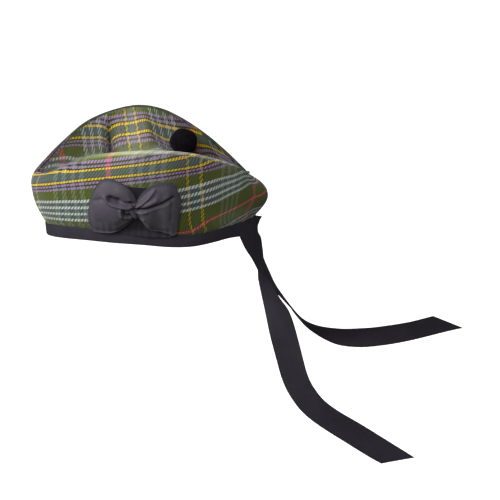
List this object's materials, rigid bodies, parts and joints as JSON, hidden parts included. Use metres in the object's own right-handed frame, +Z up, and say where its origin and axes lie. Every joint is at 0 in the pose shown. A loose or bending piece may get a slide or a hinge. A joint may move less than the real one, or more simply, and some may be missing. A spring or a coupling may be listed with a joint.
{
  "type": "glengarry cap",
  "caption": "Boat-shaped tartan wool cap with a sunken folded crown, ribbon binding round the head opening, bow cockade on the left, pompom and two ribbon tails at the back.",
  "frame": {"origin": "middle of the head opening, level with the foot of the rim at the front seam", "axes": "+Z up, -Y towards the cap's front, +Y towards its back, +X towards the wearer's left"},
  "size_m": [0.1634, 0.4968, 0.4551],
  "materials": {
    "tartan": "twill-woven wool tartan: moss green ground, slate blocks with white lines, purple, yellow and red stripes",
    "binding": "fine-ribbed near-black ribbon, matt",
    "tails": "near-black ribbon, faint violet sheen",
    "cockade": "dark grey ribbon, soft sheen, overcast edges",
    "wool": "short dense black wool pile"
  },
  "bodies": {
    "root": {"left_side": "tartan", "right_side": "tartan", "crown": "tartan", "head_band": "binding", "tail_lower": "tails", "tail_upper": "tails", "cockade_backing": "cockade", "cockade_front_loop": "cockade", "cockade_back_loop": "cockade", "cockade_knot": "cockade", "toorie": "wool"}
  },
  "joints": []
}
